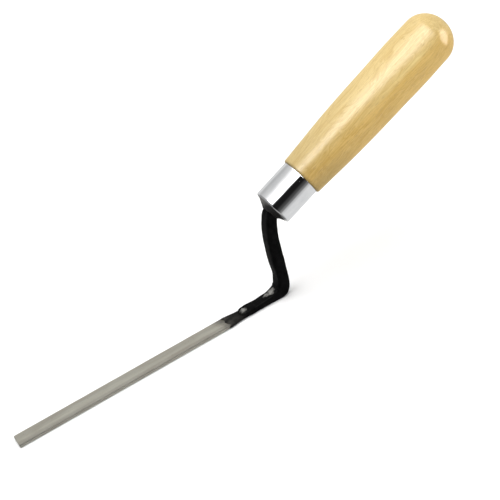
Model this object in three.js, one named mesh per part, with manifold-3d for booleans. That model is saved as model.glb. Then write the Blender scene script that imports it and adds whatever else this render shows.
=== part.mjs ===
// Brick jointer: a narrow flat blade on a cranked, black enamelled shank,
// with a chromed ferrule and a turned wooden handle.
//
// Millimetres, +Z up. The blade lies flat on Z = 0 and points towards -X, the
// handle rises towards +X, and Y = 0 is the plane of symmetry. The origin is
// under the middle of the whole tool, on the plane of the blade's underside.
// Inside this file X is measured from the blade's tip.

import * as THREE from 'three';
import { mergeVertices } from 'three/addons/utils/BufferGeometryUtils.js';
import Module from 'manifold-3d';

const wasm = await Module();
wasm.setup();

// ---------------------------------------------------------------- dimensions

const FIT_GAP = 0.3; // clearance between neighbouring solids

// Blade: a flat strip that narrows to a waist where it meets the shank.
const BLADE_THICKNESS = 1.8;
const BLADE_TIP_WIDTH = 10.2;
const BLADE_HEEL_WIDTH = 9.9;
const BLADE_HEEL_X = 127;
const BLADE_WAIST_X = 134;
const BLADE_WAIST_WIDTH = 7.4;
const BLADE_END_X = 136.2;
const BLADE_TIP_ROUNDING = 1.1;
const BLADE_EDGE_BREAK = 0.2;

// Weld: a root between the blade and the shank, under a low rounded bead.
const WELD_ROOT_LENGTH = 1.4;
const WELD_WIDTH = 6.2;
const WELD_HEIGHT = 3;
const WELD_OVERLAP = 1.5;

// Shank: foot, lower bend, neck, upper bend and tang, forged from one bar.
const FOOT_START_X = BLADE_END_X + WELD_ROOT_LENGTH + 2 * FIT_GAP;
const FOOT_SWELL_X = 154;
const FOOT_END_X = 158.4;
const FOOT_CENTRE_Z = 1.5;
const FOOT_END_BEVEL = 1.6;
const LOWER_BEND_RADIUS = 5.4;
const NECK_BOTTOM_LEAN = THREE.MathUtils.degToRad(81);
const NECK_TOP = new THREE.Vector2(168.7, 44.6);
const NECK_TOP_LEAN = THREE.MathUtils.degToRad(70);
const NECK_BOW = 12.3;
const UPPER_BEND_REACH = 3;
const TANG_LENGTH = 70;
const CORNER_ROUNDING = 0.35; // of half the bar's width and thickness
const FOOT_END_SLOPE = Math.PI / 4; // of the bevel that faces the weld

// Bar sections as [width, outer half-thickness, inner half-thickness], at the
// start of the foot and then at the end of each stretch of the centre line. The
// lower bend is upset: it is thicker on the inside, where it fills the corner.
const SHANK_SECTIONS = [
  [7.4, 1.7, 1.7],
  [7.4, 2, 2.4],
  [7.6, 2.2, 3.9],
  [7.9, 2.6, 4.9],
  [8.1, 2.8, 4.4],
  [7.9, 2.9, 3.3],
  [7.8, 2.9, 3.2],
  [7.4, 2.7, 2.8],
  [3, 1.5, 1.5],
];
const SHANK_STEPS = [5, 2, 6, 6, 16, 1, 7, 6];

// Handle axis: it starts at the centre of the ferrule's mouth.
const HANDLE_START = new THREE.Vector3(172.1, 0, 50.2);
const HANDLE_RISE = THREE.MathUtils.degToRad(21.93);

// Ferrule: a straight tube whose front edge is turned in to a rounded lip.
const FERRULE_LENGTH = 22.4;
const FERRULE_RADIUS = 11.1;
const FERRULE_WALL = 0.8;
const FERRULE_LIP_ROUNDING = 1.3;
const FERRULE_MOUTH_RADIUS = 9.4;

// Handle: the turned grip, with a spigot inside the ferrule and a blind bore.
const GRIP_LENGTH = 111.5;
const GRIP_DOME_LENGTH = 13.2;
const GRIP_EDGE_ROUNDING = 0.7;
const SPIGOT_START = 2.9;
const BORE_RADIUS = 5.2;
const BORE_END = 72;

// Grip radius at distances behind the ferrule.
const GRIP_OUTLINE = [
  [0, 12.1],
  [13.7, 12.9],
  [30.5, 13.85],
  [47, 14.35],
  [64, 14.6],
  [81, 14.95],
  [GRIP_LENGTH - GRIP_DOME_LENGTH, 14.7],
];

// Bedding: resin around the tang, with a disc behind the ferrule's lip and a
// low cone that bulges out of the mouth around the shank.
const BEDDING_DISC_START = 1.6;
const BEDDING_BULGE = 2.2;
const BEDDING_BULGE_RADIUS = 4.8;

// Blocks that cut the shank: one lies below it, one stands off its front edge.
const GROUND_BLOCK_SIZE = 400;
const BEVEL_BLOCK_SIZE = 20;

// Facets of the curves.
const ROUND_SEGMENTS = 36;
const TIP_CORNER_SEGMENTS = 6;
const BEAD_CROWN_SEGMENTS = 10;
const BAR_CORNER_SEGMENTS = 4;
const LIP_INSIDE_SEGMENTS = 4;
const LIP_OUTSIDE_SEGMENTS = 6;
const GRIP_EDGE_SEGMENTS = 3;
const GRIP_SIDE_SEGMENTS = 24;
const GRIP_DOME_SEGMENTS = 14;

// Points nearer than this are one point.
const MERGE_DISTANCE = 1e-4;

// The handle frame: its X axis is the handle's axis.
const HANDLE_FRAME = new THREE.Matrix4()
  .makeRotationY(-HANDLE_RISE)
  .setPosition(HANDLE_START);

// ----------------------------------------------------------------- materials

const groundSteel = new THREE.MeshStandardMaterial({
  color: 0xa39e93,
  roughness: 0.45,
  metalness: 0.9,
});
const blackEnamel = new THREE.MeshStandardMaterial({
  color: 0x0b0b0c,
  roughness: 0.3,
  metalness: 0,
});
const chromePlate = new THREE.MeshStandardMaterial({
  color: 0xd8dadb,
  roughness: 0.12,
  metalness: 1,
});
const darkResin = new THREE.MeshStandardMaterial({
  color: 0x17130f,
  roughness: 0.6,
  metalness: 0,
});
const lacqueredWood = new THREE.MeshStandardMaterial({
  color: 0xd8ba7e,
  roughness: 0.35,
  metalness: 0,
});

// ------------------------------------------------------------ solid geometry

// A manifold solid of a closed geometry, joined by position alone.
function solidOf(geometry) {
  const bare = geometry.clone();
  bare.deleteAttribute('normal');
  bare.deleteAttribute('uv');
  const merged = mergeVertices(bare, MERGE_DISTANCE);
  const vertProperties = new Float32Array(merged.attributes.position.array);
  const triVerts = new Uint32Array(merged.index.array);
  return new wasm.Manifold(new wasm.Mesh({ numProp: 3, vertProperties, triVerts }));
}

function geometryOf(solid) {
  const { vertProperties, triVerts } = solid.getMesh();
  const geometry = new THREE.BufferGeometry();
  geometry.setAttribute('position', new THREE.BufferAttribute(vertProperties, 3));
  geometry.setIndex(new THREE.BufferAttribute(triVerts, 1));
  geometry.computeVertexNormals();
  return geometry;
}

// A profile of [distance along the handle's axis, radius] points, turned round
// that axis.
function turned(profile) {
  const points = profile.map(([along, radius]) => new THREE.Vector2(radius, along));
  const geometry = new THREE.LatheGeometry(points, ROUND_SEGMENTS);
  return geometry.rotateZ(-Math.PI / 2).applyMatrix4(HANDLE_FRAME);
}

// Points of a quarter of an ellipse about (along, radius), from one angle to
// another, as [distance along the axis, radius].
function roundedEdge(along, radius, reach, height, from, to, steps) {
  const points = [];
  for (let i = 0; i <= steps; i++) {
    const angle = THREE.MathUtils.lerp(from, to, i / steps);
    points.push([along + reach * Math.cos(angle), radius + height * Math.sin(angle)]);
  }
  return points;
}

// ------------------------------------------------------------- blade and weld

function makeBlade() {
  const inset = BLADE_EDGE_BREAK;
  const tipHalf = BLADE_TIP_WIDTH / 2 - inset;
  const heelHalf = BLADE_HEEL_WIDTH / 2 - inset;
  const waistHalf = BLADE_WAIST_WIDTH / 2 - inset;
  const end = BLADE_END_X - inset;
  const round = BLADE_TIP_ROUNDING;
  const outline = new THREE.Shape();
  outline.moveTo(inset, -tipHalf + round);
  outline.quadraticCurveTo(inset, -tipHalf, inset + round, -tipHalf);
  outline.lineTo(BLADE_HEEL_X, -heelHalf);
  outline.lineTo(BLADE_WAIST_X, -waistHalf);
  outline.lineTo(end, -waistHalf);
  outline.lineTo(end, waistHalf);
  outline.lineTo(BLADE_WAIST_X, waistHalf);
  outline.lineTo(BLADE_HEEL_X, heelHalf);
  outline.lineTo(inset + round, tipHalf);
  outline.quadraticCurveTo(inset, tipHalf, inset, tipHalf - round);
  outline.closePath();
  const geometry = new THREE.ExtrudeGeometry(outline, {
    depth: BLADE_THICKNESS - 2 * BLADE_EDGE_BREAK,
    bevelThickness: BLADE_EDGE_BREAK,
    bevelSize: BLADE_EDGE_BREAK,
    bevelSegments: 1,
    curveSegments: TIP_CORNER_SEGMENTS,
  });
  return geometry.translate(0, 0, BLADE_EDGE_BREAK);
}

function makeWeldBead() {
  const rootStart = BLADE_END_X + FIT_GAP;
  const rootEnd = rootStart + WELD_ROOT_LENGTH;
  const overBlade = BLADE_THICKNESS + FIT_GAP;
  const headStart = rootStart - WELD_OVERLAP;
  const headEnd = rootEnd + WELD_OVERLAP;
  const headEndZ = shankTopZ(headEnd) + FIT_GAP;
  const crown = 2 * WELD_HEIGHT - (overBlade + headEndZ) / 2;
  const section = new THREE.Shape();
  section.moveTo(rootStart, 0);
  section.lineTo(rootEnd, 0);
  section.lineTo(rootEnd, FOOT_END_BEVEL);
  section.lineTo(headEnd, headEndZ);
  section.quadraticCurveTo((headStart + headEnd) / 2, crown, headStart, overBlade);
  section.lineTo(rootStart, overBlade);
  section.closePath();
  const geometry = new THREE.ExtrudeGeometry(section, {
    depth: WELD_WIDTH,
    bevelEnabled: false,
    curveSegments: BEAD_CROWN_SEGMENTS,
  });
  return geometry.translate(0, 0, -WELD_WIDTH / 2).rotateX(Math.PI / 2);
}

// ---------------------------------------------------------------------- shank

// Height of the foot's upper face above its flat underside.
function shankTopZ(x) {
  const share = (x - FOOT_START_X) / (FOOT_SWELL_X - FOOT_START_X);
  const [, , inner0] = SHANK_SECTIONS[0];
  const [, , inner1] = SHANK_SECTIONS[1];
  return FOOT_CENTRE_Z + THREE.MathUtils.lerp(inner0, inner1, share);
}

// Unit vector in the X-Z plane that rises at `lean` from the X axis.
function leaning(lean) {
  return new THREE.Vector2(Math.cos(lean), Math.sin(lean));
}

// The point `distance` further on from `start`.
function stepped(start, direction, distance) {
  return start.clone().addScaledVector(direction, distance);
}

// The shank's centre line in the X-Z plane, with the tang's end moved on by
// `extra`.
function shankLine(extra) {
  const up = leaning(NECK_BOTTOM_LEAN);
  const lean = leaning(NECK_TOP_LEAN);
  const axis = leaning(HANDLE_RISE);
  const mouth = new THREE.Vector2(HANDLE_START.x, HANDLE_START.z);
  const reach = mouth.clone().sub(NECK_TOP).cross(axis) / lean.cross(axis);
  const corner = stepped(NECK_TOP, lean, reach);
  const bendStart = stepped(corner, lean, -UPPER_BEND_REACH);
  const bendEnd = stepped(corner, axis, UPPER_BEND_REACH);
  const tangEnd = stepped(mouth, axis, TANG_LENGTH + extra);
  const bendCentre = new THREE.Vector2(FOOT_END_X, FOOT_CENTRE_Z + LOWER_BEND_RADIUS);
  const arc = [bendCentre.x, bendCentre.y, LOWER_BEND_RADIUS];
  const halfTurn = NECK_BOTTOM_LEAN / 2 - Math.PI / 2;
  const fullTurn = NECK_BOTTOM_LEAN - Math.PI / 2;
  const outward = new THREE.Vector2(up.y, -up.x);
  const neckStart = stepped(bendCentre, outward, LOWER_BEND_RADIUS);
  const neckPull = stepped(neckStart, up, NECK_BOW);
  const neckPush = stepped(NECK_TOP, lean, -NECK_BOW);
  const line = new THREE.Path();
  line.moveTo(FOOT_START_X, FOOT_CENTRE_Z);
  line.lineTo(FOOT_SWELL_X, FOOT_CENTRE_Z);
  line.lineTo(FOOT_END_X, FOOT_CENTRE_Z);
  line.absarc(...arc, -Math.PI / 2, halfTurn, false);
  line.absarc(...arc, halfTurn, fullTurn, false);
  line.bezierCurveTo(neckPull.x, neckPull.y, neckPush.x, neckPush.y, NECK_TOP.x, NECK_TOP.y);
  line.lineTo(bendStart.x, bendStart.y);
  line.quadraticCurveTo(corner.x, corner.y, bendEnd.x, bendEnd.y);
  line.lineTo(tangEnd.x, tangEnd.y);
  return line;
}

// Places and sections of the bar along its centre line.
function shankStations(grow) {
  const stations = [];
  shankLine(grow).curves.forEach((curve, stretch) => {
    const [width0, outer0, inner0] = SHANK_SECTIONS[stretch];
    const [width1, outer1, inner1] = SHANK_SECTIONS[stretch + 1];
    const steps = SHANK_STEPS[stretch];
    for (let i = stretch ? 1 : 0; i <= steps; i++) {
      const share = i / steps;
      stations.push({
        centre: curve.getPointAt(share),
        along: curve.getTangentAt(share),
        halfWidth: THREE.MathUtils.lerp(width0, width1, share) / 2 + grow,
        outer: THREE.MathUtils.lerp(outer0, outer1, share) + grow,
        inner: THREE.MathUtils.lerp(inner0, inner1, share) + grow,
      });
    }
  });
  return stations;
}

// Outline of the bar, 2 by 2 with rounded corners, for scaling at each station.
function barOutline() {
  const flat = 1 - CORNER_ROUNDING;
  const outline = new THREE.Shape();
  outline.absarc(flat, flat, CORNER_ROUNDING, 0, Math.PI / 2, false);
  outline.absarc(-flat, flat, CORNER_ROUNDING, Math.PI / 2, Math.PI, false);
  outline.absarc(-flat, -flat, CORNER_ROUNDING, Math.PI, 1.5 * Math.PI, false);
  outline.absarc(flat, -flat, CORNER_ROUNDING, 1.5 * Math.PI, 2 * Math.PI, false);
  return outline;
}

// The bar as a solid: a straight extrusion with one layer at each station, each
// layer then scaled and carried to its place. `grow` thickens it all round.
function shankBar(grow) {
  const stations = shankStations(grow);
  const layers = stations.length - 1;
  const geometry = new THREE.ExtrudeGeometry(barOutline(), {
    depth: layers,
    steps: layers,
    bevelEnabled: false,
    curveSegments: BAR_CORNER_SEGMENTS,
  });
  const position = geometry.attributes.position;
  for (let i = 0; i < position.count; i++) {
    const station = stations[Math.round(position.getZ(i))];
    const { centre, along, halfWidth, outer, inner } = station;
    const aside = position.getX(i) * halfWidth;
    const height = position.getY(i);
    const upward = height * (height > 0 ? inner : outer);
    const x = centre.x - along.y * upward;
    const z = centre.y + along.x * upward;
    position.setXYZ(i, x, aside, z);
  }
  return solidOf(geometry);
}

// A block below Z = 0 that grinds the foot's underside flat.
function groundBlock() {
  const size = GROUND_BLOCK_SIZE;
  return new THREE.BoxGeometry(size, size, size).translate(0, 0, -size / 2);
}

// A block over the foot's front edge that leaves the bevel for the weld.
function bevelBlock() {
  const size = BEVEL_BLOCK_SIZE;
  const block = new THREE.BoxGeometry(size, size, size);
  block.translate(-size / 2, 0, size / 2).rotateY(FOOT_END_SLOPE);
  return block.translate(FOOT_START_X, 0, FOOT_END_BEVEL);
}

function makeShank() {
  const bar = shankBar(0);
  const ground = bar.subtract(solidOf(groundBlock()));
  return geometryOf(ground.subtract(solidOf(bevelBlock())));
}

// ------------------------------------------------- ferrule, bedding and handle

function makeFerrule() {
  const inner = FERRULE_RADIUS - FERRULE_WALL;
  const lip = FERRULE_LIP_ROUNDING;
  const lipInside = lip - FERRULE_WALL;
  const lipCentre = [lip, FERRULE_RADIUS - lip];
  const inward = [...lipCentre, lipInside, lipInside, Math.PI / 2, Math.PI];
  const outward = [...lipCentre, lip, lip, Math.PI, Math.PI / 2];
  return turned([
    [FERRULE_LENGTH, FERRULE_RADIUS],
    [FERRULE_LENGTH, inner],
    ...roundedEdge(...inward, LIP_INSIDE_SEGMENTS),
    [FERRULE_WALL, FERRULE_MOUTH_RADIUS],
    [0, FERRULE_MOUTH_RADIUS],
    ...roundedEdge(...outward, LIP_OUTSIDE_SEGMENTS),
    [FERRULE_LENGTH, FERRULE_RADIUS],
  ]);
}

function makeHandle() {
  const gripStart = FERRULE_LENGTH + FIT_GAP;
  const gripEnd = FERRULE_LENGTH + GRIP_LENGTH;
  const spigotRadius = FERRULE_RADIUS - FERRULE_WALL - FIT_GAP;
  const edge = GRIP_EDGE_ROUNDING;
  const [, gripStartRadius] = GRIP_OUTLINE[0];
  const [, domeRadius] = GRIP_OUTLINE[GRIP_OUTLINE.length - 1];
  const outline = GRIP_OUTLINE.map(([along, radius]) => new THREE.Vector2(along, radius));
  const curve = new THREE.SplineCurve(outline);
  const side = curve.getPoints(GRIP_SIDE_SEGMENTS).slice(1, -1);
  const edgeCentre = [gripStart + edge, gripStartRadius - edge];
  const frontEdge = [...edgeCentre, edge, edge, Math.PI, Math.PI / 2];
  const domeCentre = [gripEnd - GRIP_DOME_LENGTH, 0];
  const dome = [...domeCentre, GRIP_DOME_LENGTH, domeRadius, Math.PI / 2, 0];
  return turned([
    [BORE_END, 0],
    [BORE_END, BORE_RADIUS],
    [SPIGOT_START, BORE_RADIUS],
    [SPIGOT_START, spigotRadius],
    [gripStart, spigotRadius],
    ...roundedEdge(...frontEdge, GRIP_EDGE_SEGMENTS),
    ...side.map((point) => [FERRULE_LENGTH + point.x, point.y]),
    ...roundedEdge(...dome, GRIP_DOME_SEGMENTS),
  ]);
}

function makeTangBedding() {
  const discRadius = FERRULE_RADIUS - FERRULE_WALL - FIT_GAP;
  const discEnd = SPIGOT_START - FIT_GAP;
  const stemRadius = BORE_RADIUS - FIT_GAP;
  const stemEnd = BORE_END - FIT_GAP;
  const mouthRadius = FERRULE_MOUTH_RADIUS - FIT_GAP;
  const fill = turned([
    [-BEDDING_BULGE, 0],
    [-BEDDING_BULGE, BEDDING_BULGE_RADIUS],
    [0, mouthRadius],
    [BEDDING_DISC_START, mouthRadius],
    [BEDDING_DISC_START, discRadius],
    [discEnd, discRadius],
    [discEnd, stemRadius],
    [stemEnd, stemRadius],
    [stemEnd, 0],
  ]);
  return geometryOf(solidOf(fill).subtract(shankBar(FIT_GAP)));
}

// ------------------------------------------------------------------- assembly

// Distance from the blade's tip to the rearmost point of the domed butt.
function overallLength() {
  const [, domeRadius] = GRIP_OUTLINE[GRIP_OUTLINE.length - 1];
  const domeStart = FERRULE_LENGTH + GRIP_LENGTH - GRIP_DOME_LENGTH;
  const domeReach = Math.hypot(
    GRIP_DOME_LENGTH * Math.cos(HANDLE_RISE),
    domeRadius * Math.sin(HANDLE_RISE),
  );
  return HANDLE_START.x + domeStart * Math.cos(HANDLE_RISE) + domeReach;
}

function piece(name, geometry, material) {
  const mesh = new THREE.Mesh(geometry, material);
  mesh.name = name;
  return mesh;
}

const jointer = new THREE.Group();
jointer.add(
  piece('blade', makeBlade(), groundSteel),
  piece('weld_bead', makeWeldBead(), blackEnamel),
  piece('shank', makeShank(), blackEnamel),
  piece('ferrule', makeFerrule(), chromePlate),
  piece('tang_bedding', makeTangBedding(), darkResin),
  piece('handle', makeHandle(), lacqueredWood),
);
jointer.position.x = -overallLength() / 2;

export default jointer;
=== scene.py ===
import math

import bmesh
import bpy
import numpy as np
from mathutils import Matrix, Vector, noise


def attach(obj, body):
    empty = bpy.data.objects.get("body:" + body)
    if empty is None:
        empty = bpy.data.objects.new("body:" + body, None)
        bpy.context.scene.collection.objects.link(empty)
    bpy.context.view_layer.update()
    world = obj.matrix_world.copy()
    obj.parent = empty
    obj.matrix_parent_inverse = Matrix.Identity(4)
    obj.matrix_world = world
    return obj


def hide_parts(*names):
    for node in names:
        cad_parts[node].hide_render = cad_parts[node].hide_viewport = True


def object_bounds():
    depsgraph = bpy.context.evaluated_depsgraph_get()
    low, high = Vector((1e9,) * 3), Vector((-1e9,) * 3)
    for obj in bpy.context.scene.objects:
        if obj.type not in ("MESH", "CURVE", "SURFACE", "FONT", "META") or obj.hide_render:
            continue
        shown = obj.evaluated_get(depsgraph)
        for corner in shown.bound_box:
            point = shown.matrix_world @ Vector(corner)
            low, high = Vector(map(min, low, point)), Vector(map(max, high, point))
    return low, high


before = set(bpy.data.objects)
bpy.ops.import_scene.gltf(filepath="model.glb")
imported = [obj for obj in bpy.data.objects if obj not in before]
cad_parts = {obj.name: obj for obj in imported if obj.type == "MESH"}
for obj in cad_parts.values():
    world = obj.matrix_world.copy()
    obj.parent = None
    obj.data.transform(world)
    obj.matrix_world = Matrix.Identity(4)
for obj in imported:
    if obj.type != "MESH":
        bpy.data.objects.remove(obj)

# Brick jointer: ground blade, welded and enamelled cranked shank, chromed
# ferrule and a turned, lacquered wooden handle.
#
# Shapes are worked out in millimetres, with X measured from the blade's tip,
# and are scaled to metres when a mesh is made. The handle, the ferrule and the
# resin have axes of their own, whose X is the handle's axis and whose origin is
# the centre of the ferrule's mouth.

CAD_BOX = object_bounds()
MM = 0.001
TIP = Vector((CAD_BOX[0].x, 0.0, 0.0))

# ------------------------------------------------------------------ dimensions

BLADE_THICKNESS = 1.8
BLADE_TIP_WIDTH = 10.2
BLADE_HEEL_WIDTH = 9.9
BLADE_HEEL_X = 127.0
BLADE_WAIST_X = 134.0
BLADE_WAIST_WIDTH = 7.4
BLADE_END_X = 136.2
BLADE_TIP_ROUNDING = 1.1
BLADE_EDGE_ROUNDING = 0.22
BLADE_EDGE_Y = 4.9
BLADE_TIP_PLAY = 0.004
BLADE_TIP_LEAD = 0.35
BLADE_LIFT = 0.001

COAT_START_X = 125.6
COAT_END_X = 139.0
COAT_THICKNESS = 0.13
COAT_EDGE_ROUNDING = 0.5
COAT_SINK = 0.04
COAT_PLAY = 0.004
COAT_LIFT = 0.002

BEAD_MIDDLE_X = 137.6
BEAD_HALF_LENGTH = 2.7
BEAD_HALF_WIDTH = 3.55
BEAD_TOP = 3.5
BEAD_UNEVENNESS = 0.16
BEAD_FULLNESS = 0.45
BEAD_RIPPLE_TURN = 4.2
BEAD_LIFT = 0.01

FOOT_START_X = 136.6
FOOT_END_X = 158.4
FOOT_CENTRE_Z = 1.5
LOWER_BEND_RADIUS = 5.4
NECK_BOTTOM_LEAN = math.radians(81)
NECK_TOP = np.array((168.7, 44.6))
NECK_TOP_LEAN = math.radians(70)
NECK_BOW = 12.3
UPPER_BEND_REACH = 3.0
TANG_LENGTH = 70.0
BAR_SQUARENESS = 6.0
TANGENT_REACH = 0.4

HANDLE_START = Vector((172.1, 0.0, 50.2))
HANDLE_RISE = math.radians(21.93)

FERRULE_LENGTH = 22.4
FERRULE_RADIUS = 11.1
FERRULE_WALL = 0.8
FERRULE_LIP_ROUNDING = 1.3
FERRULE_MOUTH_RADIUS = 9.4
FERRULE_MOUTH_SWELL = 0.25
FERRULE_END_BEVEL = 0.12
FERRULE_DENTS = 0.0022

BULGE_HEIGHT = 2.3
BULGE_TOP_RADIUS = 3.6
BULGE_OVERRUN = 0.8
RIM_HEIGHT = 0.5
RIM_SPREAD = 0.7
RIM_HALF_WIDTH = 3.9
RIM_HALF_HEIGHT = 3.2
RIM_DROP = 0.9
BEDDING_SHOULDER = 1.6
BEDDING_PLAY = 0.02
BEDDING_END_PLAY = 0.05
STEM_PLAY = 0.1

GRIP_LENGTH = 111.5
GRIP_DOME_LENGTH = 13.2
GRIP_EDGE_ROUNDING = 0.9
GRIP_FRONT_GAP = 0.12
GRIP_END_GAP = 0.05
SPIGOT_START = 2.9
SPIGOT_RADIUS = 10.25
BORE_RADIUS = 5.2
BORE_END = 72.0
GRIP_UNEVENNESS = 0.003
GRIP_RIPPLE = 0.0004

# The grip's radius at distances from the ferrule's end.
GRIP_OUTLINE = [
    (0.0, 12.1),
    (13.7, 12.9),
    (30.5, 13.85),
    (47.0, 14.35),
    (64.0, 14.6),
    (81.0, 14.92),
    (GRIP_LENGTH - GRIP_DOME_LENGTH, 14.68),
]

# ------------------------------------------------------------- mesh construction


class Axes:
    """Local axes that start at `origin` and are turned by `rise` towards +Z."""

    def __init__(self, origin, rise):
        self.origin = origin
        self.rise = rise
        self.matrix = Matrix.Translation(origin) @ Matrix.Rotation(-rise, 4, "Y")


TOOL_AXES = Axes(TIP, 0.0)
HANDLE_AXES = Axes(TIP + HANDLE_START * MM, HANDLE_RISE)


def smooth_through(points, places):
    """Values at `places` of a smooth curve through (place, value) points."""
    x, y = np.array(points, float).T
    slope = np.gradient(y, x)
    i = np.clip(np.searchsorted(x, places) - 1, 0, len(x) - 2)
    width = x[i + 1] - x[i]
    t = np.clip((places - x[i]) / width, 0, 1)
    rise = (2 * t**3 - 3 * t**2 + 1) * y[i] + (3 * t**2 - 2 * t**3) * y[i + 1]
    lean = (t**3 - 2 * t**2 + t) * slope[i] + (t**3 - t**2) * slope[i + 1]
    return rise + lean * width


def smoothstep(low, high, value):
    t = np.clip((value - low) / (high - low), 0, 1)
    return t * t * (3 - 2 * t)


def noise_at(points, size, seed):
    """Smooth noise, about -1 to 1, with features `size` mm across."""
    shift = Vector((seed * 17.3, seed * 5.1, seed * 9.7))
    return np.array([noise.noise(Vector(p) / size + shift) for p in points])


def arc(centre, reach, start, end, steps):
    """Points of an elliptic arc in a plane, between two angles in degrees."""
    angle = np.radians(np.linspace(start, end, steps + 1))
    return [(centre[0] + reach[0] * math.cos(a), centre[1] + reach[1] * math.sin(a)) for a in angle]


def linked(name, data, matrix=None):
    """A new object in the scene, at the origin or at a matrix."""
    made = bpy.data.objects.new(name, data)
    bpy.context.scene.collection.objects.link(made)
    if matrix is not None:
        made.matrix_world = matrix
    return made


def ring_faces(rings, around, closed):
    """Quads between neighbouring rings, and back to the first one if closed."""
    faces = []
    last = rings if closed else rings - 1
    for i in range(last):
        a, b = i * around, (i + 1) % rings * around
        for j in range(around):
            k = (j + 1) % around
            faces.append((a + j, a + k, b + k, b + j))
    return faces


def piece(name, points, faces, finish, nodes):
    """Makes a mesh of millimetre points on a finish's axes, gives it that finish,
    attaches it to the root body and hides the CAD parts it stands in for."""
    mesh = bpy.data.meshes.new(name)
    mesh.from_pydata((np.array(points) * MM).tolist(), [], faces)
    mesh.transform(finish.axes.matrix)
    shell = bmesh.new()
    shell.from_mesh(mesh)
    bmesh.ops.recalc_face_normals(shell, faces=shell.faces)
    shell.to_mesh(mesh)
    shell.free()
    mesh.shade_smooth()
    mesh.materials.append(finish.material)
    made = linked(name, mesh)
    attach(made, "root")
    if nodes:
        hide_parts(*nodes)
    return made


def skinned(name, rings, ends, finish, nodes):
    """A closed skin over rings of points. `ends` holds the middle points that
    close it, or None where the last ring joins the first one."""
    count, around, _ = rings.shape
    points = rings.reshape(-1, 3)
    faces = ring_faces(count, around, ends is None)
    if ends is not None:
        points = np.vstack([points, ends])
        start, end = len(points) - 2, len(points) - 1
        tail = (count - 1) * around
        for j in range(around):
            k = (j + 1) % around
            faces.append((start, k, j))
            faces.append((end, tail + j, tail + k))
    return piece(name, points, faces, finish, nodes)


def turned_rings(profile, around):
    """Rings of (distance along the axis, radius) points turned round X."""
    along, radius = np.array(profile, float).T
    angle = np.linspace(0, 2 * math.pi, around, endpoint=False)
    rings = np.empty((len(along), around, 3))
    rings[:, :, 0] = along[:, None]
    rings[:, :, 1] = radius[:, None] * np.cos(angle)
    rings[:, :, 2] = radius[:, None] * np.sin(angle)
    return rings


# ------------------------------------------------------------- material building


def rgba(colour):
    """A colour with its alpha. A number stands for grey, and a socket stays."""
    if isinstance(colour, bpy.types.NodeSocket):
        return colour
    if isinstance(colour, (int, float)):
        colour = (colour, colour, colour)
    return (*colour, 1.0)


class Nodes:
    """A material whose nodes are added by short calls."""

    def __init__(self, name):
        self.material = bpy.data.materials.new(name)
        self.material.use_nodes = True
        self.nodes = self.material.node_tree.nodes
        self.links = self.material.node_tree.links

    def add(self, kind, inputs, **settings):
        """A node with its settings, and with its inputs linked or set."""
        node = self.nodes.new("ShaderNode" + kind)
        for setting, value in settings.items():
            setattr(node, setting, value)
        for socket, value in inputs.items():
            if isinstance(value, bpy.types.NodeSocket):
                self.links.new(value, node.inputs[socket])
            else:
                node.inputs[socket].default_value = value
        return node

    def math(self, operation, first, second=0.0):
        return self.add("Math", {0: first, 1: second}, operation=operation).outputs[0]

    def between(self, value, low, high):
        """0 to 1 as the value goes from low to high."""
        return self.add("MapRange", {"Value": value, "From Min": low, "From Max": high}).outputs[0]

    def ramp(self, factor, *stops, interpolation="LINEAR"):
        """A colour ramp of (position, colour) stops. A number stands for grey."""
        node = self.add("ValToRGB", {"Fac": factor})
        node.color_ramp.interpolation = interpolation
        elements = node.color_ramp.elements
        while len(elements) < len(stops):
            elements.new(0.5)
        for element, (position, colour) in zip(elements, stops):
            element.position = position
            element.color = rgba(colour)
        return node.outputs["Color"]

    def mix(self, factor, first, second, blend="MIX"):
        inputs = {0: factor, 6: rgba(first), 7: rgba(second)}
        return self.add("Mix", inputs, data_type="RGBA", blend_type=blend).outputs[2]

    def times(self, colour, shade):
        return self.mix(1.0, colour, shade, "MULTIPLY")


class Finish(Nodes):
    """A Principled material named after `slot`. Its texture coordinates
    are millimetres on the given axes."""

    def __init__(self, slot, axes, **values):
        super().__init__(slot)
        self.slot = slot
        self.axes = axes
        self.shader = self.nodes["Principled BSDF"]
        for socket, value in values.items():
            self.shader.inputs[socket.replace("_", " ")].default_value = value
        place = {
            "Vector": self.add("TexCoord", {}).outputs["Object"],
            "Location": axes.origin,
            "Rotation": (0, -axes.rise, 0),
            "Scale": (MM, MM, MM),
        }
        self.coordinates = self.add("Mapping", place, vector_type="TEXTURE").outputs["Vector"]

    def stretched(self, x, y, z):
        """Coordinates in millimetres, times the given factors."""
        mapping = self.add("Mapping", {"Vector": self.coordinates, "Scale": (x, y, z)})
        return mapping.outputs["Vector"]

    def noise(self, vector, detail=3.0, roughness=0.55, distortion=0.0):
        inputs = {
            "Vector": vector,
            "Scale": 1.0,
            "Detail": detail,
            "Roughness": roughness,
            "Distortion": distortion,
        }
        return self.add("TexNoise", inputs).outputs["Fac"]

    def share(self, direction, low, high, strayed=0.0):
        """0 to 1 between two distances in mm along a direction. `strayed` is a
        distance that is added first."""
        reach = self.add("VectorMath", {0: self.coordinates, 1: direction}, operation="DOT_PRODUCT")
        return self.between(self.math("ADD", reach.outputs["Value"], strayed), low, high)

    def spot(self, centre, radius, strayed):
        """1 inside a ball in mm, and 0 outside it. `strayed` shifts its border."""
        away = self.add("VectorMath", {0: self.coordinates, 1: centre}, operation="DISTANCE")
        away = self.math("ADD", away.outputs["Value"], strayed)
        return self.between(away, radius + SPOT_BORDER, radius - SPOT_BORDER)

    def bump(self, height, strength, distance, before=None):
        """A bump of `distance` mm on top of an earlier one."""
        inputs = {"Height": height, "Strength": strength, "Distance": distance * MM}
        if before is not None:
            inputs["Normal"] = before
        return self.add("Bump", inputs).outputs["Normal"]

    def feed(self, **sockets):
        """Links values to the shader."""
        for socket, value in sockets.items():
            self.links.new(value, self.shader.inputs[socket.replace("_", " ")])
        return self


# ------------------------------------------------------------- steel and enamel

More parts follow.
